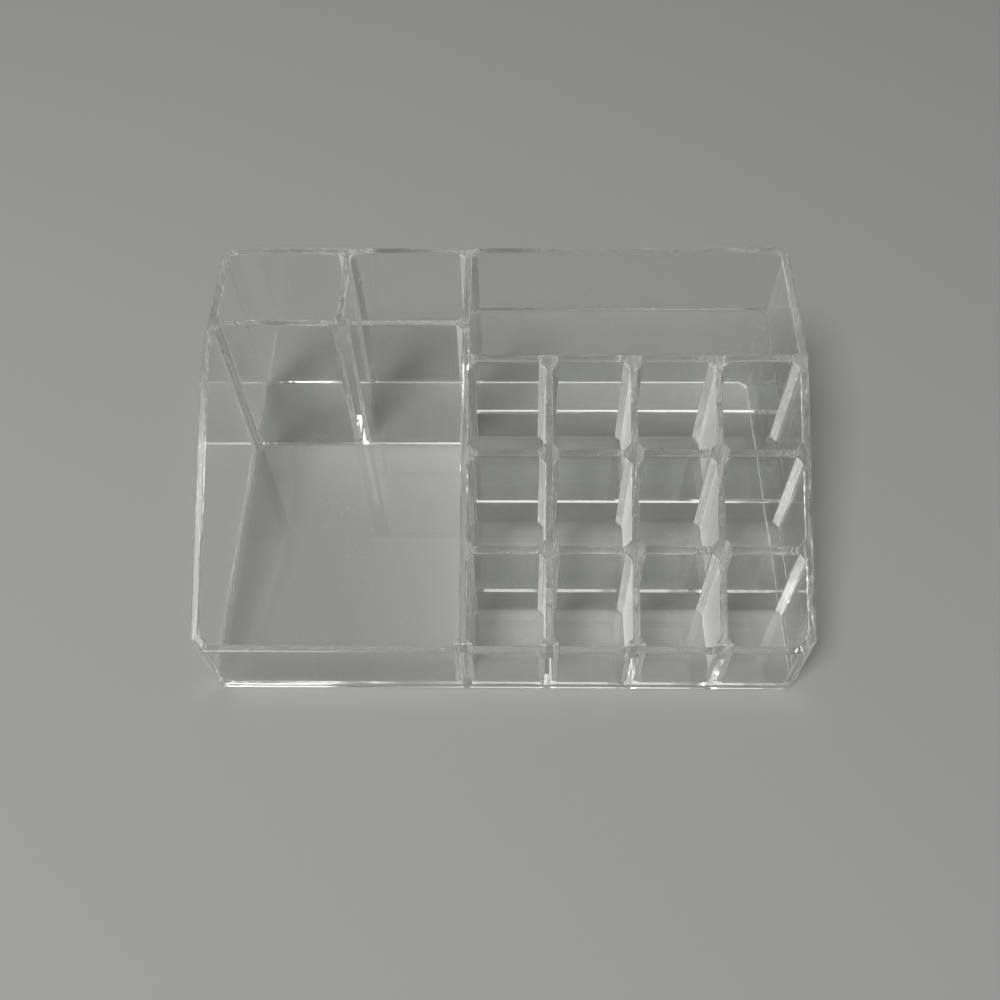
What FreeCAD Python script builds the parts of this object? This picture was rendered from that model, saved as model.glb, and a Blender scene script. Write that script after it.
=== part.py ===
"""Clear acrylic vanity organizer, as a parametric document in millimetres.

The organizer is an eight-sided tray of clear panels, chamfered at its four upright corners.
Its left half is an open tray with two bins behind it. Its right half is a staircase of slot
floors, three rows of four slots, with a shelf bin behind them. Every upright panel ends at one
sloping plane that climbs from the front panel to the full height at the rear row wall.

Frame: +Z up, +X to the right as seen from the front, front facing -Y, and the origin at the
middle of the footprint on the surface that the organizer stands on.
"""
import FreeCAD
import Part
import os
import re

import Sketcher
from FreeCAD import Rotation, Vector

ROWS = 3
COLUMNS = 4
ROW_NAMES = ("front", "middle", "rear")

# Driving sizes in millimetres: alias, value, what it measures
DRIVING_SIZES = (
    ("overall_width", 222.0, "outer width, left to right"),
    ("overall_depth", 152.0, "outer depth, front to back"),
    ("overall_height", 79.5, "height of the rear walls above the table"),
    ("front_height", 31.3, "height of the front wall above the table"),
    ("outer_wall", 3.0, "thickness of the outer panels"),
    ("inner_wall", 2.6, "thickness of the inner panels"),
    ("floor_sheet", 2.4, "thickness of the floor panels"),
    ("foot_rim", 1.6, "how far the outer panels reach below the lowest floor"),
    ("corner_leg", 3.0, "leg of the 45 degree chamfer inside the four outer corners"),
    ("strip_leg", 2.3, "leg of the 45 degree strip in the other corners of a compartment"),
    ("slot_width", 28.2, "clear width of a slot"),
    ("slot_depth", 28.6, "clear depth of a slot"),
    ("slot_rise", 14.5, "step up from one row of slots to the next"),
    ("shelf_rise", 15.5, "step up from the rear slots to the shelf bin"),
    ("bin_depth", 35.2, "clear depth of the two bins behind the tray"),
)

# Sizes worked out from those above: alias, formula, what it measures
DERIVED_SIZES = (
    ("half_width", "overall_width / 2", "outer right face"),
    ("half_depth", "overall_depth / 2", "outer back face"),
    ("inner_right", "half_width - outer_wall", "inner right face"),
    ("inner_back", "half_depth - outer_wall", "inner back face"),
    ("chamfer_leg", "corner_leg + outer_wall * (2 - sqrt(2))", "leg of the outer chamfer"),
    ("mitre_run", "outer_wall * (sqrt(2) - 1)", "set-back of a panel's inner edge at its mitre"),
    ("front_length", "overall_width - 2 * chamfer_leg", "outer length of the front panel"),
    ("side_length", "overall_depth - 2 * chamfer_leg", "outer length of a side panel"),
    ("corner_length", "chamfer_leg * sqrt(2)", "outer length of a corner panel"),
    ("floor_top", "foot_rim + floor_sheet", "upper face of the lowest floors"),
    ("row_pitch", "slot_depth + inner_wall", "front to back step between rows"),
    ("column_pitch", "slot_width + inner_wall", "left to right step between slots"),
    ("rows_depth", f"{ROWS} * row_pitch", "front panel to the rear face of the rear row wall"),
    ("columns_width", f"{COLUMNS} * column_pitch", "centre wall's left face to the right panel"),
    ("centre_left", "inner_right - columns_width", "left face of the centre wall"),
    ("centre_right", "centre_left + inner_wall", "right face of the centre wall"),
    ("slots_width", "columns_width - inner_wall", "centre wall to the right panel"),
    ("tray_width", "centre_left + inner_right", "left panel to the centre wall"),
    ("inside_depth", "overall_depth - 2 * outer_wall", "front panel to the back panel"),
    ("cross_front", "inner_back - bin_depth - inner_wall", "front face of the cross wall"),
    ("bin_width", "(tray_width - inner_wall) / 2", "clear width of a bin behind the tray"),
    ("shelf_depth", "inside_depth - rows_depth", "clear depth of the shelf bin"),
    ("shelf_top", f"floor_top + {ROWS - 1} * slot_rise + shelf_rise", "upper face of the shelf"),
)

ALIASES = {row[0] for row in DRIVING_SIZES + DERIVED_SIZES}

doc = FreeCAD.newDocument("vanity_organizer")
sheet = doc.addObject("Spreadsheet::Sheet", "sizes")


def fill_sheet():
    """Write every size to the sheet, with its alias and a note."""
    driving = [(alias, str(value), note) for alias, value, note in DRIVING_SIZES]
    derived = [(alias, "=" + formula, note) for alias, formula, note in DERIVED_SIZES]
    for row, (alias, content, note) in enumerate(driving + derived, start=1):
        sheet.set(f"A{row}", note)
        sheet.set(f"B{row}", content)
        sheet.setAlias(f"B{row}", alias)
    doc.recompute()


def bound(expression):
    """Point every alias in an expression at the sheet."""
    return re.sub(r"[a-z_]+", lambda word: sheet_name(word.group()), str(expression))


def sheet_name(word):
    """Return the sheet's name for an alias, and any other word as it is."""
    return f"sizes.{word}" if word in ALIASES else word


def origin_plane(body, role):
    """Find one of a body's own origin planes by its role."""
    return next(plane for plane in body.Origin.OriginFeatures if plane.Role == role)


def pin(sketch, line, kind, axis, expression):
    """Hold a line's start point on an axis, or at a bound distance from the origin."""
    if expression == "0":
        sketch.addConstraint(Sketcher.Constraint("PointOnObject", line, 1, axis))
        return
    value = float(sheet.evalExpression(bound(expression)))
    index = sketch.addConstraint(Sketcher.Constraint(kind, -1, 1, line, 1, value))
    sketch.setExpression(f"Constraints[{index}]", bound(expression))


def draw_outline(sketch, outline):
    """Draw one closed polygon whose corners are pairs of expressions."""
    corners = [Vector(*(float(sheet.evalExpression(bound(part))) for part in corner), 0)
               for corner in outline]
    lines = [sketch.addGeometry(Part.LineSegment(start, end))
             for start, end in zip(corners, corners[1:] + corners[:1])]
    for line, after in zip(lines, lines[1:] + lines[:1]):
        sketch.addConstraint(Sketcher.Constraint("Coincident", line, 2, after, 1))
    for line, (across, along) in zip(lines, outline):
        pin(sketch, line, "DistanceX", -2, across)
        pin(sketch, line, "DistanceY", -1, along)


def padded_body(name, role, outlines, length, place, turn=0.0):
    """Make a body by padding one sketch with one or more outlines, and place it."""
    body = doc.addObject("PartDesign::Body", name)
    body.AllowCompound = True
    sketch = body.newObject("Sketcher::SketchObject", f"{name}_outline")
    sketch.AttachmentSupport = [(origin_plane(body, role), "")]
    sketch.MapMode = "FlatFace"
    for outline in outlines:
        draw_outline(sketch, outline)
    pad = body.newObject("PartDesign::Pad", f"{name}_pad")
    pad.Profile = sketch
    pad.setExpression("Length", bound(length))
    body.Placement.Rotation = Rotation(Vector(0, 0, 1), turn)
    for axis, expression in zip("xyz", place):
        body.setExpression(f"Placement.Base.{axis}", bound(expression))
    return body


def rectangle(length, width):
    """Outline of a rectangle with one corner at the origin."""
    return [("0", "0"), (length, "0"), (length, width), ("0", width)]


def mitred(length):
    """Plan of an outer panel: outer edge on the X axis, both ends cut at the mitre."""
    return [("0", "0"), (length, "0"),
            (f"{length} - mitre_run", "outer_wall"), ("mitre_run", "outer_wall")]


def corner_strip(corner_x, corner_y, toward_x, toward_y):
    """Plan of a corner strip: a right triangle whose legs lie on the two walls."""
    return [(corner_x, corner_y),
            (f"{corner_x} {toward_x} strip_leg", corner_y),
            (corner_x, f"{corner_y} {toward_y} strip_leg")]


def compartment_strips(left, right, depth, bare=()):
    """Plans of the strips of one compartment, without those at its bare corners."""
    corners = {"front_left": corner_strip(left, "0", "+", "+"),
               "front_right": corner_strip(right, "0", "-", "+"),
               "rear_left": corner_strip(left, depth, "+", "-"),
               "rear_right": corner_strip(right, depth, "-", "-")}
    return [plan for corner, plan in corners.items() if corner not in bare]


def below_slope(name, body):
    """Trim an upright piece at the plane that its top edge follows."""
    trimmed = doc.addObject("Part::Common", name)
    trimmed.Base = body
    trimmed.Tool = slope_space
    return trimmed


def upright(name, outlines, foot, place, turn=0.0):
    """Make an upright piece that stands on its foot and ends at the sloping plane."""
    body = padded_body(f"{name}_blank", "XY_Plane", outlines, f"overall_height - ({foot})",
                       (*place, foot), turn)
    return below_slope(name, body)


def floor(name, outline, top, place):
    """Make a floor panel with its upper face at the given height."""
    return padded_body(name, "XY_Plane", [outline], "floor_sheet",
                       (*place, f"{top} - floor_sheet"))


def slot_floor_top(row):
    """Height of the floor of a row of slots, counted from the front."""
    return f"floor_top + {row} * slot_rise"


def slot_front(row):
    """Place along Y of the front edge of a row of slots."""
    return f"{row} * row_pitch - inner_back"


def make_outer_panels():
    """Four walls and four corner panels, mitred to one another, standing on the table."""
    yield padded_body("front_panel", "XY_Plane", [mitred("front_length")], "front_height",
                      ("chamfer_leg - half_width", "-half_depth", "0"))
    yield padded_body("back_panel", "XY_Plane", [mitred("front_length")], "overall_height",
                      ("half_width - chamfer_leg", "half_depth", "0"), 180.0)
    yield upright("right_panel", [mitred("side_length")], "0",
                  ("half_width", "chamfer_leg - half_depth"), 90.0)
    yield upright("left_panel", [mitred("side_length")], "0",
                  ("-half_width", "half_depth - chamfer_leg"), -90.0)
    corners = (("front_right_corner", "half_width - chamfer_leg", "-half_depth", 45.0),
               ("back_right_corner", "half_width", "half_depth - chamfer_leg", 135.0),
               ("back_left_corner", "chamfer_leg - half_width", "half_depth", 225.0),
               ("front_left_corner", "-half_width", "chamfer_leg - half_depth", 315.0))
    for name, across, along, turn in corners:
        yield upright(name, [mitred("corner_length")], "0", (across, along), turn)


def make_tray_side():
    """Left half: one low floor, the cross wall, and the divider between the two bins."""
    chamfered = [("0", "corner_leg"), ("corner_leg", "0"), ("tray_width", "0"),
                 ("tray_width", "inside_depth"), ("corner_leg", "inside_depth"),
                 ("0", "inside_depth - corner_leg")]
    yield floor("tray_floor", chamfered, "floor_top", ("-inner_right", "-inner_back"))
    yield upright("centre_wall", [rectangle("inner_wall", "inside_depth")], "foot_rim",
                  ("centre_left", "-inner_back"))
    yield upright("cross_wall", [rectangle("tray_width", "inner_wall")], "floor_top",
                  ("-inner_right", "cross_front"))
    yield upright("bin_divider", [rectangle("inner_wall", "bin_depth")], "floor_top",
                  ("bin_width - inner_right", "inner_back - bin_depth"))


def make_slot_side():
    """Right half: a staircase of slot floors, row walls and dividers, and the shelf."""
    front_outline = [("0", "0"), ("slots_width - corner_leg", "0"), ("slots_width", "corner_leg"),
                     ("slots_width", "slot_depth"), ("0", "slot_depth")]
    outlines = [front_outline] + [rectangle("slots_width", "slot_depth")] * (ROWS - 1)
    for row, (name, outline) in enumerate(zip(ROW_NAMES, outlines)):
        top = slot_floor_top(row)
        yield floor(f"{name}_slot_floor", outline, top, ("centre_right", slot_front(row)))
        yield upright(f"{name}_row_wall", [rectangle("slots_width", "inner_wall")],
                      f"{top} - floor_sheet", ("centre_right", f"{slot_front(row)} + slot_depth"))
        for column in range(1, COLUMNS):
            yield upright(f"{name}_slot_divider_{column}", [rectangle("inner_wall", "slot_depth")],
                          top, (f"centre_left + {column} * column_pitch", slot_front(row)))
    shelf_outline = [("0", "0"), ("slots_width", "0"), ("slots_width", "shelf_depth - corner_leg"),
                     ("slots_width - corner_leg", "shelf_depth"), ("0", "shelf_depth")]
    yield floor("shelf_floor", shelf_outline, "shelf_top", ("centre_right", slot_front(ROWS)))


def make_corner_strips():
    """Triangular strips in the upright corners where two walls meet square."""
    for row, name in enumerate(ROW_NAMES):
        strips = []
        for column in range(COLUMNS):
            left = f"{column} * column_pitch"
            last_of_front = row == 0 and column == COLUMNS - 1
            bare = ("front_right",) if last_of_front else ()
            strips += compartment_strips(left, f"{left} + slot_width", "slot_depth", bare)
        yield upright(f"{name}_slot_strips", strips, slot_floor_top(row),
                      ("centre_right", slot_front(row)))
    tray = compartment_strips("0", "tray_width", "cross_front + inner_back", ("front_left",))
    yield upright("tray_strips", tray, "floor_top", ("-inner_right", "-inner_back"))
    bins = compartment_strips("0", "bin_width", "bin_depth", ("rear_left",))
    bins += compartment_strips("bin_width + inner_wall", "tray_width", "bin_depth")
    yield upright("bin_strips", bins, "floor_top", ("-inner_right", "inner_back - bin_depth"))
    shelf = compartment_strips("0", "slots_width", "shelf_depth", ("rear_right",))
    yield upright("shelf_strips", shelf, "shelf_top", ("centre_right", slot_front(ROWS)))


def check(pieces):
    """Stop if any object failed to build, or any piece's shape is unusable."""
    failed = [item.Name for item in doc.Objects if {"Invalid", "Error"} & set(item.State)]
    failed += [piece.Label for piece in pieces
               if piece.Shape.isNull() or not piece.Shape.isValid() or not piece.Shape.Solids]
    if failed:
        raise RuntimeError("failed to build: " + ", ".join(failed))


fill_sheet()
slope_space = padded_body(
    "slope_space", "YZ_Plane",
    [[("0", "0"), ("overall_depth", "0"), ("overall_depth", "overall_height"),
      ("outer_wall + rows_depth", "overall_height"), ("0", "front_height")]],
    "overall_width", ("-half_width", "-half_depth", "0"))
pieces = [*make_outer_panels(), *make_tray_side(), *make_slot_side(), *make_corner_strips()]
doc.recompute()
check(pieces)

os.makedirs("parts", exist_ok=True)
for piece in pieces:
    piece.Shape.exportStep(f"parts/{piece.Label}.step")
    print(f"{piece.Label}: {len(piece.Shape.Solids)} solid(s), {piece.Shape.Volume:.1f} mm3")
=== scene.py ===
"""Looks of the clear acrylic vanity organizer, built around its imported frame.

Every sheet of the organizer is modelled again as a closed mesh: a blank at its size and place, cut
at its mitres, chamfers and sloping top, then rounded along its free edges. Where two sheets are
bonded, the touching faces are marked on both and left invisible, so that light runs from one sheet
into the next as it does in one clear moulding. Lengths are in metres, in the frame's own axes.
"""
import logging
import math
from collections.abc import Iterable, Iterator
from contextlib import contextmanager
from dataclasses import dataclass, field
from enum import Enum, IntEnum

import bmesh
import bpy
from mathutils import Matrix, Vector


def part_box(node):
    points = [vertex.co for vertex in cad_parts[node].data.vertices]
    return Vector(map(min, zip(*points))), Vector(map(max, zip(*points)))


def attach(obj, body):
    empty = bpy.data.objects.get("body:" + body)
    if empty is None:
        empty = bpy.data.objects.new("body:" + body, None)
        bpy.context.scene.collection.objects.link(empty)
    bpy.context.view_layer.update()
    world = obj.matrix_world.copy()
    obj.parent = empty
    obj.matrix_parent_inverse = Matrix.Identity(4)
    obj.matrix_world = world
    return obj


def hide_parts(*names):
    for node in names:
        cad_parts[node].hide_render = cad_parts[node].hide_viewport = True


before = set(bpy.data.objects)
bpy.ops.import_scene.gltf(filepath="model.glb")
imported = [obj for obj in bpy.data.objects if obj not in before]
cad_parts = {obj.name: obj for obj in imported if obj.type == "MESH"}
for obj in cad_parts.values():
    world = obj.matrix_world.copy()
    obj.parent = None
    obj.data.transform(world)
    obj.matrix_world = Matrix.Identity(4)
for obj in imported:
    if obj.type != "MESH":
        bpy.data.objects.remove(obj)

log = logging.getLogger("vanity_organizer")

MM = 0.001
BODY = "root"
ROW_NAMES = ("front", "middle", "rear")
COLUMNS = 4

TOUCHING = 0.002 * MM
LEAST_PATCH = 0.02 * MM * MM
PARALLEL = 0.9999
SHARP_EDGE = math.radians(20.0)
EDGE_STEPS = 2
UPWARDS = 0.5

Colour = tuple[float, float, float]
VECTOR = "NodeSocketVector"
VALUE = "NodeSocketFloat"
UNIT = (0.0, 1.0)

SMUDGE_ROUGHNESS = 0.05
SCUFF_ROUGHNESS = 0.06
DUST_ROUGHNESS = 0.25
STREAK_ROUGHNESS = 0.3
STREAK_COLOUR = (0.55, 0.56, 0.54)
HAZE_ROUGHNESS = 0.35
THROWN_ROUGHNESS = 0.3
FACE_ON_SHARE = 0.04
GRAZING_POWER = 5.0


class Finish(Enum):
    """Finishes of the organizer. Those called lined show the mould's upright tool lines.

    The first two words of a finish's name give its slot name.
    """

    OUTER = "outer_acrylic"
    OUTER_LINED = "outer_acrylic_lined"
    INNER = "inner_acrylic"
    INNER_LINED = "inner_acrylic_lined"
    BIN_WALL = "inner_acrylic_bins"
    FLOOR = "floor_acrylic"
    STRIP = "strip_acrylic"

    @property
    def slot(self) -> str:
        """The first two words of the finish's name."""
        return "_".join(self.value.split("_")[:2])


class Skin(IntEnum):
    """Kinds of face on one sheet, in the order of its material slots.

    A clear face has the sheet's own finish. Rounded edges, bonded faces and the top edges of
    uprights have finishes that all the sheets share.
    """

    CLEAR = 0
    EDGE = 1
    BOND = 2
    TOP = 3


class Corner(Enum):
    """Upright corners of a compartment: its side along X and along Y."""

    FRONT_LEFT = (-1, -1)
    FRONT_RIGHT = (1, -1)
    REAR_LEFT = (-1, 1)
    REAR_RIGHT = (1, 1)


@dataclass(frozen=True)
class Box:
    """An upright box in the frame.

    Attributes:
        low: Its lowest corner.
        high: Its highest corner.
    """

    low: Vector
    high: Vector

    @classmethod
    def of_node(cls, node: str) -> "Box":
        """Read the box of one of the frame's nodes."""
        return cls(*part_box(node))

    @property
    def centre(self) -> Vector:
        """Middle of the box."""
        return (self.low + self.high) / 2

    @property
    def size(self) -> Vector:
        """Lengths of the box along X, Y and Z."""
        return self.high - self.low


@dataclass(frozen=True)
class Cut:
    """A plane that a sheet is cut along.

    Attributes:
        point: Any point of the plane.
        waste: Direction of the side that falls away.
    """

    point: Vector
    waste: Vector


@dataclass(frozen=True)
class Patch:
    """A flat convex outline on a sheet, such as the footprint of a bonded neighbour.

    Attributes:
        corners: Its corners in order, counter-clockwise seen from outside the sheet.
        normal: Direction that the sheet's face looks in.
    """

    corners: tuple[Vector, ...]
    normal: Vector

    @property
    def centre(self) -> Vector:
        """Middle of the outline."""
        return sum(self.corners, Vector()) / len(self.corners)

    @property
    def area(self) -> float:
        """Area of the outline."""
        first = self.corners[0]
        spans = zip(self.corners[1:], self.corners[2:])
        return sum(((a - first).cross(b - first)).dot(self.normal) for a, b in spans) / 2

    def sides(self) -> Iterator[tuple[Vector, Vector]]:
        """Yield a point of each side and the direction out of the outline there."""
        for start, end in zip(self.corners, self.corners[1:] + self.corners[:1]):
            yield start, (end - start).cross(self.normal).normalized()

    def holds(self, point: Vector) -> bool:
        """Tell whether a point lies on the outline's plane and within its sides."""
        on_plane = abs((point - self.corners[0]).dot(self.normal)) < TOUCHING
        return on_plane and all((point - start).dot(out) < TOUCHING for start, out in self.sides())

    def shared_with(self, other: "Patch") -> "Patch | None":
        """Clip this outline to one that faces it.

        Args:
            other: An outline on another sheet.

        Returns:
            The part of this outline that the other one covers, or None if they don't touch.
        """
        if self.normal.dot(other.normal) > -PARALLEL:
            return None
        if abs((other.corners[0] - self.corners[0]).dot(self.normal)) > TOUCHING:
            return None
        corners = list(self.corners)
        for point, out in other.sides():
            depths = [(corner - point).dot(out) for corner in corners]
            kept: list[Vector] = []
            for index, (corner, depth) in enumerate(zip(corners, depths)):
                before, depth_before = corners[index - 1], depths[index - 1]
                if (depth > TOUCHING) != (depth_before > TOUCHING):
                    kept.append(before.lerp(corner, depth_before / (depth_before - depth)))
                if depth <= TOUCHING:
                    kept.append(corner)
            corners = without_doubles(kept)
            if len(corners) < 3:
                return None
        patch = Patch(tuple(corners), self.normal)
        return patch if patch.area > LEAST_PATCH else None


def without_doubles(corners: list[Vector]) -> list[Vector]:
    """Drop each corner that lies on the one before it."""
    return [corner for index, corner in enumerate(corners)
            if (corner - corners[index - 1]).length > TOUCHING]


def deselect_all() -> None:
    """Leave no object selected."""
    bpy.ops.object.select_all(action="DESELECT")


def pick(*objects: bpy.types.Object) -> None:
    """Select only these objects.

    Args:
        objects: What is selected, the first of them active.
    """
    deselect_all()
    for item in objects:
        item.select_set(True)
    bpy.context.view_layer.objects.active = objects[0]


@contextmanager
def edit_mode(item: bpy.types.Object) -> Iterator[None]:
    """Hold one object in edit mode, with faces as what is selected.

    Args:
        item: The object, which is left in object mode.

    Yields:
        Nothing, while the object is in edit mode.
    """
    pick(item)
    bpy.ops.object.mode_set(mode="EDIT")
    bpy.ops.mesh.select_mode(type="FACE")
    yield
    bpy.ops.object.mode_set(mode="OBJECT")


def blank(name: str, box: Box) -> bpy.types.Object:
    """Add a block of material at its size and place.

    Args:
        name: Name of the new object.
        box: Space that the block fills.

    Returns:
        The block, with its place in its mesh.
    """
    deselect_all()
    bpy.ops.mesh.primitive_cube_add(size=1.0, location=box.centre, scale=box.size)
    bpy.ops.object.transform_apply(location=True, rotation=True, scale=True)
    made = bpy.context.active_object
    made.name = made.data.name = name
    return made


def saw(item: bpy.types.Object, cuts: Iterable[Cut]) -> bpy.types.Object:
    """Cut a block along planes and close each cut.

    Args:
        item: The block.
        cuts: Planes to cut along, each with its waste side.

    Returns:
        The same object.
    """
    with edit_mode(item):
        for cut in cuts:
            bpy.ops.mesh.select_all(action="SELECT")
            bpy.ops.mesh.bisect(plane_co=cut.point, plane_no=cut.waste, use_fill=True,
                                clear_outer=True, threshold=TOUCHING)
    return item


def copy_along(item: bpy.types.Object, name: str, shift: Vector) -> bpy.types.Object:
    """Copy an object with its own mesh and move the copy.

    Args:
        item: What is copied.
        name: Name of the copy.
        shift: How far the copy moves.

    Returns:
        The copy, with its place in its mesh.
    """
    pick(item)
    bpy.ops.object.duplicate(linked=False)
    bpy.ops.transform.translate(value=shift)
    bpy.ops.object.transform_apply(location=True, rotation=True, scale=True)
    made = bpy.context.active_object
    made.name = made.data.name = name
    return made


@dataclass
class Sheet:
    """One sheet of acrylic, or one group of strips, that stands for a node of the frame.

    Attributes:
        node: Name of the node.
        finish: Finish of its faces.
        body: The mesh object.
        edge_radius: Rounding of the free edges.
    """

    node: str
    finish: Finish
    body: bpy.types.Object
    edge_radius: float

    def outlines(self) -> list[Patch]:
        """List the outlines of all its faces."""
        mesh = self.body.data
        return [Patch(tuple(mesh.vertices[index].co.copy() for index in face.vertices),
                      face.normal.copy()) for face in mesh.polygons]

    def _face_at(self, patch: Patch) -> bmesh.types.BMFace:
        """Find the face, in edit mode, that the middle of a patch lies on.

        Args:
            patch: Outline of a neighbour.

        Returns:
            The face, which looks the same way as the patch.
        """
        centre = patch.centre
        for face in bmesh.from_edit_mesh(self.body.data).faces:
            if face.normal.dot(patch.normal) > PARALLEL:
                if Patch(tuple(corner.co for corner in face.verts), face.normal).holds(centre):
                    return face
        raise ValueError(f"{self.node}: no face under a bonded patch")

    def mark_bonds(self, patches: Iterable[Patch]) -> None:
        """Outline each bonded patch on the sheet and give its face the bond.

        Args:
            patches: Outlines of the neighbours on this sheet's faces.
        """
        with edit_mode(self.body):
            for patch in patches:
                for point, out in patch.sides():
                    face = self._face_at(patch)
                    if max((corner.co - point).dot(out) for corner in face.verts) < TOUCHING:
                        continue
                    bpy.ops.mesh.select_all(action="DESELECT")
                    face.select_set(True)
                    bpy.ops.mesh.bisect(plane_co=point, plane_no=out, threshold=TOUCHING)
                self._face_at(patch).material_index = Skin.BOND
                bmesh.update_edit_mesh(self.body.data)

    def mark_top(self) -> None:
        """Give every clear face of an upright sheet that looks upwards the finish of a top edge."""
        if self.finish is Finish.FLOOR:
            return
        for face in self.body.data.polygons:
            if face.normal.z > UPWARDS and face.material_index == Skin.CLEAR:
                face.material_index = Skin.TOP

    def round_edges(self) -> None:
        """Round every sharp edge between two faces that are not bonded."""
        with edit_mode(self.body):
            bpy.ops.mesh.select_mode(type="EDGE")
            bpy.ops.mesh.select_all(action="DESELECT")
            edges = bmesh.from_edit_mesh(self.body.data).edges
            for edge in edges:
                free = all(face.material_index != Skin.BOND for face in edge.link_faces)
                edge.select_set(free and edge.calc_face_angle_signed(0.0) > SHARP_EDGE)
            bpy.ops.mesh.bevel(offset=self.edge_radius, segments=EDGE_STEPS, affect="EDGES",
                               clamp_overlap=False, material=Skin.EDGE)

    def dress(self, materials: list[bpy.types.Material]) -> None:
        """Give the sheet its materials, its body and the node it stands for.

        Args:
            materials: One material for each kind of face, in the order of Skin.
        """
        for material in materials:
            self.body.data.materials.append(material)
        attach(self.body, BODY)
        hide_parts(self.node)
        log.info("%s: %d faces", self.body.name, len(self.body.data.polygons))


@dataclass
class SubAssembly:
    """A group of sheets that are built and dressed together.

    Attributes:
        slope: Plane that the top edges of the uprights follow.
        edge_radius: Rounding of the sheets' free edges.
        sheets: The sheets, once built.
    """

    slope: Cut
    edge_radius: float = 0.55 * MM
    sheets: list[Sheet] = field(default_factory=list)

    def add(self, node: str, finish: Finish, body: bpy.types.Object) -> None:
        """Keep a finished mesh as the sheet that stands for a node."""
        self.sheets.append(Sheet(node, finish, body, self.edge_radius))

    def add_cut(self, node: str, finish: Finish, cuts: Iterable[Cut]) -> None:
        """Make a sheet from a blank of its node's box and keep it."""
        self.add(node, finish, saw(blank(piece_name(node), Box.of_node(node)), cuts))

    def build(self) -> None:
        """Make the meshes of the sheets."""
        raise NotImplementedError

    def dress(self, finishes: "FinishLibrary") -> None:
        """Round the edges of the sheets and give them their finishes.

        Args:
            finishes: The materials of every finish.
        """
        for sheet in self.sheets:
            sheet.mark_top()
            sheet.round_edges()
            sheet.dress(finishes.materials(sheet.finish))


def piece_name(node: str) -> str:
    """Name of the mesh that stands for a node."""
    return f"{node}_acrylic"


@dataclass
class OuterShell(SubAssembly):
    """Four walls and four narrow corner panels, mitred to one another.

    Attributes:
        half: Half of the outer width and depth.
        wall: Thickness of the panels.
        chamfer_leg: Leg of the outer chamfer at the upright corners.
        mitre_run: Set-back of a panel's inner edge at its mitre.
    """

    half: Vector = field(init=False)
    wall: float = field(init=False)
    chamfer_leg: float = field(init=False)
    mitre_run: float = field(init=False)

    def __post_init__(self) -> None:
        """Read the sizes from the frame."""
        front = Box.of_node("front_panel")
        self.half = Vector((Box.of_node("right_panel").high.x, Box.of_node("back_panel").high.y, 0))
        self.wall = front.size.y
        self.chamfer_leg = self.half.x - front.high.x
        self.mitre_run = self.wall * (math.sqrt(2) - 1)

    def _mitre(self, corner: Corner, along_x: bool) -> Cut:
        """Plane between a wall and a corner panel.

        Args:
            corner: Which upright corner of the organizer.
            along_x: True for the wall that runs along X, False for the one along Y.

        Returns:
            The plane, with the corner panel on its waste side.
        """
        side = Vector((*corner.value, 0))
        if along_x:
            outer = Vector((self.half.x - self.chamfer_leg, self.half.y, 0))
            run = Vector((-self.mitre_run, -self.wall, 0))
        else:
            outer = Vector((self.half.x, self.half.y - self.chamfer_leg, 0))
            run = Vector((-self.wall, -self.mitre_run, 0))
        waste = Vector((-run.y, run.x, 0)) if along_x else Vector((run.y, -run.x, 0))
        return Cut(outer * side, (waste * side).normalized())

    def _corner_cuts(self, corner: Corner) -> list[Cut]:
        """Planes that leave a corner panel of a square block.

        Args:
            corner: Which upright corner of the organizer.

        Returns:
            The outer and inner face, the two mitres and the slope.
        """
        side = Vector((*corner.value, 0))
        outer = Vector((self.half.x - self.chamfer_leg, self.half.y, 0)) * side
        inner = outer + Vector((-self.mitre_run, -self.wall, 0)) * side
        flipped = [Cut(mitre.point, -mitre.waste)
                   for mitre in (self._mitre(corner, True), self._mitre(corner, False))]
        return [Cut(outer, side.normalized()), Cut(inner, -side.normalized()), *flipped, self.slope]

    def build(self) -> None:
        """Cut the eight panels."""
        ends = {"front_panel": (Corner.FRONT_LEFT, Corner.FRONT_RIGHT),
                "back_panel": (Corner.REAR_LEFT, Corner.REAR_RIGHT),
                "right_panel": (Corner.FRONT_RIGHT, Corner.REAR_RIGHT),
                "left_panel": (Corner.FRONT_LEFT, Corner.REAR_LEFT)}
        for node, corners in ends.items():
            along_x = node in ("front_panel", "back_panel")
            cuts = [self._mitre(corner, along_x) for corner in corners]
            finish = Finish.OUTER_LINED if node == "right_panel" else Finish.OUTER
            self.add_cut(node, finish, cuts if along_x else [*cuts, self.slope])
        names = {"front_right_corner": Corner.FRONT_RIGHT, "back_right_corner": Corner.REAR_RIGHT,
                 "back_left_corner": Corner.REAR_LEFT, "front_left_corner": Corner.FRONT_LEFT}
        for node, corner in names.items():
            self.add_cut(node, Finish.OUTER, self._corner_cuts(corner))


def corner_cut(box: Box, corner: Corner, leg: float) -> Cut:
    """Plane that takes a 45 degree corner off a floor.

    Args:
        box: Box of the floor.
        corner: Which of its corners.
        leg: Leg of the chamfer.

    Returns:
        The plane, with the corner on its waste side.
    """
    side = Vector((*corner.value, 0))
    tip = Vector((box.high.x if side.x > 0 else box.low.x,
                  box.high.y if side.y > 0 else box.low.y, 0))
    return Cut(tip - Vector((side.x * leg, 0, 0)), side.normalized())


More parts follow.
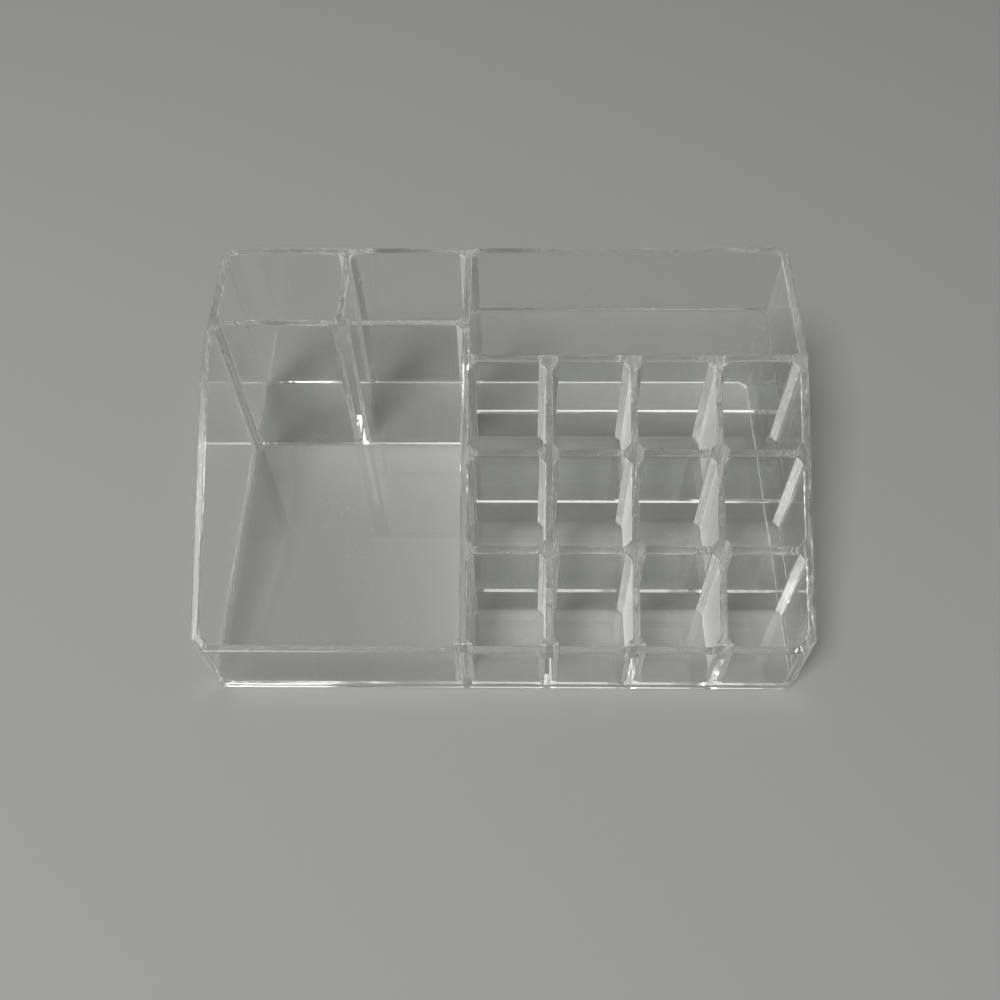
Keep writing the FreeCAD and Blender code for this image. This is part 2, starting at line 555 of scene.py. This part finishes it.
@dataclass
class TraySide(SubAssembly):
    """Left half: one low floor, the centre wall, the cross wall and the divider of the bins.

    Attributes:
        corner_leg: Leg of the chamfer inside an upright corner.
    """

    corner_leg: float = 3.0 * MM

    def build(self) -> None:
        """Cut the floor and the three walls."""
        floor = Box.of_node("tray_floor")
        corners = (Corner.FRONT_LEFT, Corner.REAR_LEFT)
        self.add_cut("tray_floor", Finish.FLOOR,
                     [corner_cut(floor, corner, self.corner_leg) for corner in corners])
        walls = {"centre_wall": Finish.INNER, "cross_wall": Finish.BIN_WALL,
                 "bin_divider": Finish.BIN_WALL}
        for node, finish in walls.items():
            self.add_cut(node, finish, [self.slope])


@dataclass
class SlotSide(SubAssembly):
    """Right half: a staircase of slot floors, row walls and dividers, and the shelf behind it.

    Attributes:
        corner_leg: Leg of the chamfer inside an upright corner.
    """

    corner_leg: float = 3.0 * MM

    def build(self) -> None:
        """Cut the floors, the row walls and the dividers."""
        cut_corners = {"front_slot_floor": Corner.FRONT_RIGHT, "shelf_floor": Corner.REAR_RIGHT}
        for node in (*(f"{row}_slot_floor" for row in ROW_NAMES), "shelf_floor"):
            corner = cut_corners.get(node)
            box = Box.of_node(node)
            self.add_cut(node, Finish.FLOOR,
                         [corner_cut(box, corner, self.corner_leg)] if corner else [])
        for row in ROW_NAMES:
            self.add_cut(f"{row}_row_wall", Finish.INNER, [self.slope])
            self._build_dividers(row)

    def _build_dividers(self, row: str) -> None:
        """Cut the first divider of a row and copy it to the others' places.

        Args:
            row: Name of the row.
        """
        names = [f"{row}_slot_divider_{column}" for column in range(1, COLUMNS)]
        self.add_cut(names[0], Finish.INNER_LINED, [self.slope])
        first, start = self.sheets[-1].body, Box.of_node(names[0]).low
        for node in names[1:]:
            shift = Box.of_node(node).low - start
            self.add(node, Finish.INNER_LINED, copy_along(first, piece_name(node), shift))


@dataclass
class CornerStrips(SubAssembly):
    """Triangular strips that fill the upright corners where two walls meet square.

    Attributes:
        strip_leg: Leg of a strip on each of its two walls.
    """

    strip_leg: float = 2.3 * MM

    def _strip(self, name: str, space: Box, corner: Corner) -> bpy.types.Object:
        """Cut one strip from a square block in a corner of a compartment.

        Args:
            name: Name of the strip.
            space: The compartment.
            corner: Which of its corners.

        Returns:
            The strip.
        """
        side = Vector((*corner.value, 0))
        tip = Vector((space.high.x if side.x > 0 else space.low.x,
                      space.high.y if side.y > 0 else space.low.y, 0))
        far = tip - side * self.strip_leg
        block = Box(Vector((min(tip.x, far.x), min(tip.y, far.y), space.low.z)),
                    Vector((max(tip.x, far.x), max(tip.y, far.y), space.high.z)))
        diagonal = Cut(tip - Vector((side.x * self.strip_leg, 0, 0)), -side.normalized())
        return saw(blank(name, block), [diagonal, self.slope])

    def _group(self, node: str, strips: list[bpy.types.Object]) -> None:
        """Join strips into the one mesh that stands for a node.

        Args:
            node: Name of the node.
            strips: The strips, the first of which takes in the others.
        """
        pick(*strips)
        bpy.ops.object.join()
        strips[0].name = strips[0].data.name = piece_name(node)
        self.add(node, Finish.STRIP, strips[0])

    def _compartment(self, node: str, space: Box,
                     bare: Iterable[Corner] = ()) -> list[bpy.types.Object]:
        """Cut the strips of one compartment, except at its bare corners."""
        return [self._strip(f"{node}_{corner.name.lower()}", space, corner)
                for corner in Corner if corner not in bare]

    def _slot_row(self, row: str, front: float, rear: float) -> None:
        """Make the strips of one row: those of its first slot, and copies of them along it.

        Args:
            row: Name of the row.
            front: Place along Y of the wall in front of the row.
            rear: Place along Y of the wall behind it.
        """
        node = f"{row}_slot_strips"
        left = Box.of_node("centre_wall").high.x
        dividers = [Box.of_node(f"{row}_slot_divider_{column}") for column in range(1, COLUMNS)]
        floor, top = Box.of_node(f"{row}_slot_floor").high.z, Box.of_node("back_panel").high.z
        space = Box(Vector((left, front, floor)), Vector((dividers[0].low.x, rear, top)))
        strips = self._compartment(node, space)
        first = list(zip(Corner, strips))
        for divider in dividers:
            shift = Vector((divider.high.x - left, 0, 0))
            chamfered = row == ROW_NAMES[0] and divider is dividers[-1]
            strips += [copy_along(strip, strip.name, shift) for corner, strip in first
                       if not (chamfered and corner is Corner.FRONT_RIGHT)]
        self._group(node, strips)

    def build(self) -> None:
        """Make the strips of the slots, the tray, the bins and the shelf."""
        top = Box.of_node("back_panel").high.z
        fronts = [Box.of_node("front_panel").high.y]
        fronts += [Box.of_node(f"{row}_row_wall").high.y for row in ROW_NAMES]
        for row, front in zip(ROW_NAMES, fronts):
            self._slot_row(row, front, Box.of_node(f"{row}_row_wall").low.y)
        left, right = Box.of_node("left_panel").high.x, Box.of_node("centre_wall").low.x
        cross, divider = Box.of_node("cross_wall"), Box.of_node("bin_divider")
        back, floor = Box.of_node("back_panel").low.y, Box.of_node("tray_floor").high.z
        tray = Box(Vector((left, fronts[0], floor)), Vector((right, cross.low.y, top)))
        left_bin = Box(Vector((left, cross.high.y, floor)), Vector((divider.low.x, back, top)))
        right_bin = Box(Vector((divider.high.x, cross.high.y, floor)), Vector((right, back, top)))
        shelf = Box(Vector((Box.of_node("centre_wall").high.x, fronts[-1],
                            Box.of_node("shelf_floor").high.z)),
                    Vector((Box.of_node("right_panel").low.x, back, top)))
        self._group("tray_strips", self._compartment("tray", tray, [Corner.FRONT_LEFT]))
        self._group("bin_strips", self._compartment("left_bin", left_bin, [Corner.REAR_LEFT])
                    + self._compartment("right_bin", right_bin))
        self._group("shelf_strips", self._compartment("shelf", shelf, [Corner.REAR_RIGHT]))


def bond_sheets(sheets: list[Sheet]) -> None:
    """Mark, on every sheet, the patches where other sheets are bonded to it.

    Args:
        sheets: All sheets of the organizer, before their edges are rounded.
    """
    outlines = [sheet.outlines() for sheet in sheets]
    for index, sheet in enumerate(sheets):
        others = [patch for other, patches in enumerate(outlines) if other != index
                  for patch in patches]
        shared = (own.shared_with(patch) for own in outlines[index] for patch in others)
        patches = [patch for patch in shared if patch]
        sheet.mark_bonds(patches)
        log.info("%s: %d bonded patches", sheet.body.name, len(patches))


class NodeBoard:
    """Places and links the nodes of one node tree."""

    def __init__(self, tree: bpy.types.NodeTree) -> None:
        """Start on a tree, emptied first."""
        self.tree = tree
        tree.nodes.clear()

    def node(self, kind: str, inputs: dict | None = None, **settings: object) -> bpy.types.Node:
        """Place a node.

        Args:
            kind: The node's type.
            inputs: Value or source socket of each input, by the input's name or number.
            settings: Properties of the node.

        Returns:
            The new node.
        """
        made = self.tree.nodes.new(kind)
        for name, value in settings.items():
            setattr(made, name, value)
        for key, value in (inputs or {}).items():
            if isinstance(value, bpy.types.NodeSocket):
                self.tree.links.new(value, made.inputs[key])
            else:
                made.inputs[key].default_value = value
        return made

    def math(self, operation: str, *values: object) -> bpy.types.NodeSocket:
        """Place a Math node on its values and return its result."""
        return self.node("ShaderNodeMath", dict(enumerate(values)), operation=operation).outputs[0]

    def span(self, value: object, start: tuple[float, float],
             end: tuple[float, float]) -> bpy.types.NodeSocket:
        """Place a clamped Map Range node.

        Args:
            value: What is mapped.
            start: Range that it comes in.
            end: Range that it goes out in.

        Returns:
            The mapped value.
        """
        ranges = {"From Min": start[0], "From Max": start[1], "To Min": end[0], "To Max": end[1]}
        return self.node("ShaderNodeMapRange", {"Value": value, **ranges}).outputs[0]

    def colour(self, factor: object, first: object, second: object) -> bpy.types.NodeSocket:
        """Place a Mix node on two colours and return the mixed one."""
        return self.node("ShaderNodeMix", {"Factor": factor, "A": first, "B": second},
                         data_type="RGBA").outputs["Result"]

    def shader(self, factor: object, first: bpy.types.NodeSocket,
               second: bpy.types.NodeSocket) -> bpy.types.NodeSocket:
        """Place a Mix Shader node and return the mixed shader."""
        return self.node("ShaderNodeMixShader", {0: factor, 1: first, 2: second}).outputs[0]


class SharedEffect:
    """A shader node group with named inputs and outputs, used by several finishes."""

    def __init__(self, name: str, inputs: Iterable[tuple[str, str]], outputs: Iterable[str]) -> None:
        """Make an empty group.

        Args:
            name: Name of the group.
            inputs: Name and socket type of each input.
            outputs: Name of each output, all of them plain values.
        """
        self.group = bpy.data.node_groups.new(name, "ShaderNodeTree")
        for label, kind in inputs:
            self.group.interface.new_socket(label, in_out="INPUT", socket_type=kind)
        for label in outputs:
            self.group.interface.new_socket(label, in_out="OUTPUT", socket_type=VALUE)
        self.board = NodeBoard(self.group)
        self.source = self.board.node("NodeGroupInput")

    def stretched(self, factors: tuple[float, float, float]) -> bpy.types.NodeSocket:
        """Return the group's Vector, multiplied along X, Y and Z."""
        return self.board.node("ShaderNodeVectorMath", {0: self.source.outputs["Vector"], 1: factors},
                               operation="MULTIPLY").outputs[0]

    def close(self, results: dict[str, bpy.types.NodeSocket]) -> bpy.types.NodeTree:
        """Feed the outputs and return the group."""
        self.board.node("NodeGroupOutput", results)
        return self.group


@dataclass(frozen=True)
class MouldLines:
    """Fine upright lines that a milled mould leaves on the walls.

    Attributes:
        stretch: How the pattern is squeezed along X, Y and Z, to run upright.
        coarse: Range of the pattern in which a line counts as coarse.
    """

    stretch: tuple[float, float, float] = (1.0, 1.0, 0.03)
    coarse: tuple[float, float] = (0.42, 0.62)

    def group(self) -> bpy.types.NodeTree:
        """Build the node group.

        Returns:
            A group whose Height is the lines' relief and whose Streak is a mask of the coarser lines,
            both from 0 to 1.
        """
        effect = SharedEffect("mould_lines", (("Vector", VECTOR), ("Lines per Metre", VALUE)),
                              ("Height", "Streak"))
        lines = effect.board.node("ShaderNodeTexNoise", {
            "Vector": effect.stretched(self.stretch), "Detail": 2.0,
            "Scale": effect.source.outputs["Lines per Metre"]}).outputs["Fac"]
        return effect.close({"Height": lines, "Streak": effect.board.span(lines, self.coarse, UNIT)})


@dataclass(frozen=True)
class MouldedWave:
    """Long, shallow unevenness of a moulded sheet."""

    def group(self) -> bpy.types.NodeTree:
        """Build the node group.

        Returns:
            A group whose Height is the unevenness, from 0 to 1.
        """
        effect = SharedEffect("moulded_wave", (("Vector", VECTOR), ("Waves per Metre", VALUE)),
                              ("Height",))
        wave = effect.board.node("ShaderNodeTexNoise", {
            "Vector": effect.source.outputs["Vector"], "Detail": 0.0,
            "Scale": effect.source.outputs["Waves per Metre"]})
        return effect.close({"Height": wave.outputs["Fac"]})


@dataclass(frozen=True)
class HandlingMarks:
    """Smudges, fine scuffs and dust on a surface that is handled every day.

    Attributes:
        smudges: Smudges per metre.
        smudged: Range of the cloud pattern in which a smudge grows.
        scuffs: Hairline scuffs per metre.
        scuffed: Range of the hairline pattern in which a scuff grows.
        scuff_stretch: How that pattern is squeezed, to run along X.
        grains: Dust grains per metre.
        grain_rim: Distances from a grain's middle between which it fades.
    """

    smudges: float = 38.0
    smudged: tuple[float, float] = (0.5, 0.72)
    scuffs: float = 900.0
    scuffed: tuple[float, float] = (0.66, 0.78)
    scuff_stretch: tuple[float, float, float] = (0.12, 1.0, 1.0)
    grains: float = 420.0
    grain_rim: tuple[float, float] = (0.06, 0.1)

    def group(self) -> bpy.types.NodeTree:
        """Build the node group.

        Returns:
            A group with the masks Smudge, Scuff and Dust, each from 0 to 1.
        """
        effect = SharedEffect("handling_marks", (("Vector", VECTOR),), ("Smudge", "Scuff", "Dust"))
        board, place = effect.board, effect.source.outputs["Vector"]
        cloud = board.node("ShaderNodeTexNoise", {"Vector": place, "Scale": self.smudges,
                                                  "Detail": 4.0, "Roughness": 0.6})
        hairs = board.node("ShaderNodeTexNoise", {"Vector": effect.stretched(self.scuff_stretch),
                                                  "Scale": self.scuffs, "Detail": 2.0})
        grains = board.node("ShaderNodeTexVoronoi", {"Vector": place, "Scale": self.grains})
        return effect.close({"Smudge": board.span(cloud.outputs["Fac"], self.smudged, UNIT),
                             "Scuff": board.span(hairs.outputs["Fac"], self.scuffed, UNIT),
                             "Dust": board.span(grains.outputs["Distance"], self.grain_rim,
                                                UNIT[::-1])})


class SharedEffects:
    """The node groups that several finishes use, each built once."""

    def __init__(self) -> None:
        """Build the groups."""
        self.lines = MouldLines().group()
        self.wave = MouldedWave().group()
        self.marks = HandlingMarks().group()


@dataclass(frozen=True)
class ClearAcrylic:
    """Clear moulded acrylic, as one of the organizer's finishes.

    Attributes:
        name: Name of the material.
        tint: What white light becomes at one face that is looked through. Its default, which the
            inner walls and dividers keep, is darker than the clear sheet's own tint and is painted
            shade for the slots and the shelf.
        deep_tint: The same where the sheet is a little cloudier.
        passed_tint: What the lamp's light becomes at one face, on its way to the floor.
        polish: Roughness of a clean place.
        line_depth: Height of the upright mould lines.
        lines: Mould lines per metre.
        streak: How strongly the coarser mould lines show, from 0 to 1.
        wave_depth: Height of the long unevenness.
        waves: Waves of it per metre.
        refraction: Index of refraction.
        clearness: Share of the light that goes into the sheet, the rest meeting a frosted face.
        shine: Strength of the face's reflections, from 0 to 1.
        haze: Strength of the pale haze on the face, from 0 to 1.
        throw: Strength of the lamp's light that the face throws on to the floor before it.
    """

    name: str
    # The default tint and deep tint are darker than the clear sheet's own: painted shade that the
    # inner walls and dividers cast over the slots and the shelf seen through them.
    tint: Colour = (0.875, 0.882, 0.860)
    deep_tint: Colour = (0.850, 0.857, 0.830)
    passed_tint: Colour = (0.840, 0.845, 0.830)
    polish: float = 0.02
    line_depth: float = 0.002 * MM
    lines: float = 300.0
    streak: float = 0.0
    wave_depth: float = 0.008 * MM
    waves: float = 30.0
    refraction: float = 1.49
    clearness: float = 1.0
    shine: float = 1.0
    haze: float = 0.0
    throw: float = 0.7

    def material(self, effects: SharedEffects) -> bpy.types.Material:
        """Build the material.

        Args:
            effects: The shared node groups.

        Returns:
            The new material: clear acrylic where it is looked at, and a plain sheet with some
            mirrored light on the way between the lamp and the floor.
        """
        material = bpy.data.materials.new(self.name)
        material.use_nodes = True
        board = NodeBoard(material.node_tree)
        seen, passing = self._seen(board, effects), self._passing(board)
        path = board.node("ShaderNodeLightPath")
        bounced = board.shader(path.outputs["Is Diffuse Ray"], seen, passing)
        shown = board.shader(path.outputs["Is Shadow Ray"], bounced, passing)
        board.node("ShaderNodeOutputMaterial", {"Surface": shown})
        return material

    def _seen(self, board: NodeBoard, effects: SharedEffects) -> bpy.types.NodeSocket:
        """Place the shader of a face that is looked at, from outside and from within the sheet.

        Args:
            board: The material's nodes.
            effects: The shared node groups.

        Returns:
            The shader.
        """
        place = board.node("ShaderNodeTexCoord").outputs["Object"]
        lines = board.node("ShaderNodeGroup", {"Vector": place, "Lines per Metre": self.lines},
                           node_tree=effects.lines).outputs
        wave = board.node("ShaderNodeGroup", {"Vector": place, "Waves per Metre": self.waves},
                          node_tree=effects.wave).outputs
        marks = board.node("ShaderNodeGroup", {"Vector": place}, node_tree=effects.marks).outputs
        roughness: object = self.polish
        for mask, added in ((marks["Smudge"], SMUDGE_ROUGHNESS), (marks["Scuff"], SCUFF_ROUGHNESS),
                            (marks["Dust"], DUST_ROUGHNESS),
                            (lines["Streak"], self.streak * STREAK_ROUGHNESS)):
            roughness = board.math("MULTIPLY_ADD", mask, added, roughness)
        clean = board.colour(marks["Smudge"], (*self.tint, 1.0), (*self.deep_tint, 1.0))
        streaked = board.math("MULTIPLY", lines["Streak"], self.streak)
        relief = board.math("MULTIPLY", lines["Height"], self.line_depth)
        height = board.math("MULTIPLY_ADD", wave["Height"], self.wave_depth, relief)
        bump = board.node("ShaderNodeBump", {"Height": height, "Strength": 1.0, "Distance": 1.0})
        sheet = {"Base Color": board.colour(streaked, clean, (*STREAK_COLOUR, 1.0)),
                 "Roughness": roughness, "Metallic": 0.0, "IOR": self.refraction,
                 "Specular Tint": (self.shine, self.shine, self.shine, 1.0),
                 "Normal": bump.outputs["Normal"]}
        outside = board.node("ShaderNodeBsdfPrincipled", {
            **sheet, "Transmission Weight": self.clearness, "Sheen Weight": self.haze,
            "Sheen Roughness": HAZE_ROUGHNESS})
        within = board.node("ShaderNodeBsdfPrincipled", {**sheet, "Transmission Weight": 1.0})
        behind = board.node("ShaderNodeNewGeometry").outputs["Backfacing"]
        return board.shader(behind, outside.outputs[0], within.outputs[0])

    def _passing(self, board: NodeBoard) -> bpy.types.NodeSocket:
        """Place the shader that the lamp's light meets on its way to the floor.

        Args:
            board: The material's nodes.

        Returns:
            The shader: a plain tint, and mirrored light that grows as the light grazes the face.
        """
        slant = board.node("ShaderNodeLayerWeight", {"Blend": 0.5}).outputs["Facing"]
        thrown = board.span(board.math("POWER", slant, GRAZING_POWER), UNIT,
                            (FACE_ON_SHARE * self.throw, self.throw))
        straight = board.node("ShaderNodeBsdfTransparent", {"Color": (*self.passed_tint, 1.0)})
        mirrored = board.node("ShaderNodeBsdfAnisotropic", {"Roughness": THROWN_ROUGHNESS})
        return board.shader(thrown, straight.outputs[0], mirrored.outputs[0])


@dataclass(frozen=True)
class Bond:
    """A solvent bond between two sheets, which leaves nothing to be seen."""

    name: str = "solvent_bond"

    def material(self) -> bpy.types.Material:
        """Build the material.

        Returns:
            The new material, with no opacity at all.
        """
        material = bpy.data.materials.new(self.name)
        material.use_nodes = True
        material.node_tree.nodes["Principled BSDF"].inputs["Alpha"].default_value = 0.0
        return material


ROUNDED_EDGE = ClearAcrylic("rounded_edge", tint=(0.98, 0.98, 0.96), polish=0.2, clearness=0.82,
                            shine=0.4)
MATT_TOP = ClearAcrylic("matt_top", tint=(0.98, 0.98, 0.96), polish=0.12, clearness=0.95, shine=0.15)
WALL_FINISHES = {
    Finish.OUTER: ClearAcrylic(
        Finish.OUTER.value, tint=(0.972, 0.976, 0.960), deep_tint=(0.950, 0.955, 0.935),
        passed_tint=(0.920, 0.925, 0.910), throw=0.6),
    Finish.OUTER_LINED: ClearAcrylic(
        Finish.OUTER_LINED.value, tint=(0.950, 0.955, 0.940), deep_tint=(0.930, 0.935, 0.915),
        passed_tint=(0.720, 0.726, 0.715), throw=0.4, line_depth=0.04 * MM, lines=220.0, streak=0.3,
        haze=0.25),
    # The inner walls and dividers keep the darker default tint, painted shade for the slots and the
    # shelf; the outer walls, bin walls, floors, tops and edges have tints nearer the clear sheet's
    # own.
    Finish.INNER: ClearAcrylic(Finish.INNER.value),
    Finish.INNER_LINED: ClearAcrylic(
        Finish.INNER_LINED.value, line_depth=0.15 * MM, lines=220.0, streak=0.8, haze=1.0,
        clearness=0.85),
    Finish.BIN_WALL: ClearAcrylic(
        Finish.BIN_WALL.value, tint=(0.970, 0.974, 0.960), deep_tint=(0.950, 0.955, 0.935),
        passed_tint=(0.945, 0.950, 0.935), throw=1.4),
    Finish.FLOOR: ClearAcrylic(
        Finish.FLOOR.value, tint=(0.945, 0.950, 0.930), deep_tint=(0.925, 0.930, 0.905),
        passed_tint=(0.975, 0.978, 0.970)),
    Finish.STRIP: ClearAcrylic(
        Finish.STRIP.value, tint=(0.98, 0.98, 0.965), polish=0.25, line_depth=0.01 * MM, lines=900.0,
        streak=0.3, haze=0.8, clearness=0.45, throw=0.0),
}


class FinishLibrary:
    """The materials of the organizer, each built once."""

    def __init__(self) -> None:
        """Build every finish."""
        effects = SharedEffects()
        bond = Bond().material()
        edge, top = ROUNDED_EDGE.material(effects), MATT_TOP.material(effects)
        self._sets = {finish: [WALL_FINISHES[finish].material(effects), edge, bond, top]
                      for finish in Finish}

    def materials(self, finish: Finish) -> list[bpy.types.Material]:
        """Materials of one finish, in the order of Skin."""
        return self._sets[finish]


@dataclass
class Studio:
    """Plain pale floor, soft light and the camera at the photograph's angle.

    Attributes:
        floor_drop: How far the floor lies below the organizer's foot.
        floor_side: Side of the floor.
        floor_colour: Colour of the floor.
        floor_roughness: Roughness of the floor.
        horizon: Brightness of the even light from all round, low down.
        sky: Brightness of it higher up.
        sky_from: Height of a direction, from 0 to 1, above which the sky's brightness holds.
        fill: Share of the even light that reaches matt surfaces.
        soft_box: Direction of the soft bright patch that shows in the acrylic.
        soft_rim: Cosines of the angles between which the patch grows to its full brightness.
        soft_level: Brightness of the patch.
        key_power: Power of the large soft lamp, in watts.
        key_place: Where that lamp hangs.
        key_size: Width of that lamp.
        eye: Where the camera stands.
        pitch: How far the camera looks down, in degrees.
        yaw: How far it turns to the right, in degrees.
        roll: How far it leans, in degrees.
        lens: Focal length, in millimetres on the sensor.
        sensor: Width of the sensor, in millimetres.
        nearest: Distance from which the camera sees.
        bounces: How often light may meet a face on its way through the sheets.
        glossy_filter: How far mirrored light is softened after it has met a matt surface.
    """

    floor_drop: float = 0.3 * MM
    floor_side: float = 3.0
    floor_colour: Colour = (0.38, 0.38, 0.375)
    floor_roughness: float = 0.9
    horizon: float = 0.50
    sky: float = 0.28
    sky_from: float = 0.35
    fill: float = 0.35
    soft_box: Vector = field(default_factory=lambda: Vector((0.12, 0.53, 0.84)).normalized())
    soft_rim: tuple[float, float] = (0.955, 0.99)
    soft_level: float = 1.2
    key_power: float = 40.0
    key_place: Vector = field(default_factory=lambda: Vector((-0.72, -0.81, 1.93)))
    key_size: float = 0.62
    eye: Vector = field(default_factory=lambda: Vector((6.1, -236.3, 373.6)) * MM)
    pitch: float = 56.67
    yaw: float = -1.90
    roll: float = -1.50
    lens: float = 38.15
    sensor: float = 36.0
    nearest: float = 10.0 * MM
    bounces: int = 160
    glossy_filter: float = 0.1

    def build(self) -> None:
        """Set up the floor, the light, the camera and the colour transform."""
        self._floor()
        self._surround()
        self._lamp()
        self._camera()
        scene = bpy.context.scene
        scene.view_settings.view_transform = "Standard"
        scene.cycles.max_bounces = self.bounces
        scene.cycles.transmission_bounces = self.bounces
        scene.cycles.glossy_bounces = self.bounces
        scene.cycles.transparent_max_bounces = self.bounces
        scene.cycles.blur_glossy = self.glossy_filter

    def _floor(self) -> None:
        """Lay a plain pale floor."""
        deselect_all()
        bpy.ops.mesh.primitive_plane_add(size=self.floor_side, location=(0, 0, -self.floor_drop))
        floor = bpy.context.active_object
        floor.name = "studio_floor"
        material = bpy.data.materials.new("studio_floor")
        material.use_nodes = True
        principled = material.node_tree.nodes["Principled BSDF"]
        principled.inputs["Base Color"].default_value = (*self.floor_colour, 1.0)
        principled.inputs["Roughness"].default_value = self.floor_roughness
        floor.data.materials.append(material)

    def _surround(self) -> None:
        """Light the scene evenly from all round, with a soft bright patch that the acrylic shows."""
        world = bpy.data.worlds.new("studio")
        bpy.context.scene.world = world
        world.use_nodes = True
        board = NodeBoard(world.node_tree)
        direction = board.node("ShaderNodeTexCoord").outputs["Generated"]
        height = board.node("ShaderNodeSeparateXYZ", {"Vector": direction}).outputs["Z"]
        level = board.span(height, (0.0, self.sky_from), (self.horizon, self.sky))
        toward = board.node("ShaderNodeVectorMath", {0: direction, 1: self.soft_box},
                            operation="DOT_PRODUCT").outputs["Value"]
        patch = board.span(toward, self.soft_rim, (0.0, self.soft_level))
        path = board.node("ShaderNodeLightPath").outputs
        seen = board.math("MAXIMUM", path["Is Glossy Ray"], path["Is Transmission Ray"])
        shown = board.math("MULTIPLY_ADD", seen, patch, level)
        share = board.span(path["Is Diffuse Ray"], UNIT, (1.0, self.fill))
        background = board.node("ShaderNodeBackground",
                                {"Strength": board.math("MULTIPLY", shown, share)})
        board.node("ShaderNodeOutputWorld", {"Surface": background.outputs[0]})

    def _lamp(self) -> None:
        """Hang a large round lamp in front, to the left and above, that points at the organizer."""
        turn = (-self.key_place).to_track_quat("-Z", "Y").to_euler()
        bpy.ops.object.light_add(type="AREA", location=self.key_place, rotation=turn)
        lamp = bpy.context.active_object
        lamp.name = "key_lamp"
        lamp.data.shape = "DISK"
        lamp.data.size = self.key_size
        lamp.data.energy = self.key_power

    def _camera(self) -> None:
        """Stand the camera where the photograph was taken."""
        deselect_all()
        bpy.ops.object.camera_add(location=self.eye)
        camera = bpy.context.active_object
        turn = (Matrix.Rotation(math.radians(-self.yaw), 3, "Z")
                @ Matrix.Rotation(math.radians(90.0 - self.pitch), 3, "X")
                @ Matrix.Rotation(math.radians(self.roll), 3, "Z"))
        camera.rotation_euler = turn.to_euler()
        camera.data.lens = self.lens
        camera.data.sensor_width = self.sensor
        camera.data.clip_start = self.nearest
        bpy.context.scene.camera = camera


def sloping_top() -> Cut:
    """Find the plane of the top edges.

    Returns:
        The plane from the front panel's top to the rear row wall's rear edge, open upwards.
    """
    front, rear = Box.of_node("front_panel"), Box.of_node("rear_row_wall")
    foot = Vector((0, front.low.y, front.high.z))
    run = Vector((0, rear.high.y, rear.high.z)) - foot
    return Cut(foot, Vector((0, -run.z, run.y)).normalized())


def main() -> None:
    """Build the organizer piece by piece, dress it and set up the studio."""
    logging.basicConfig(level=logging.INFO, format="%(message)s")
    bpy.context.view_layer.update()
    slope = sloping_top()
    assemblies = [OuterShell(slope), TraySide(slope), SlotSide(slope), CornerStrips(slope)]
    for assembly in assemblies:
        assembly.build()
    bond_sheets([sheet for assembly in assemblies for sheet in assembly.sheets])
    finishes = FinishLibrary()
    for assembly in assemblies:
        assembly.dress(finishes)
    Studio().build()


if __name__ == "__main__":
    main()
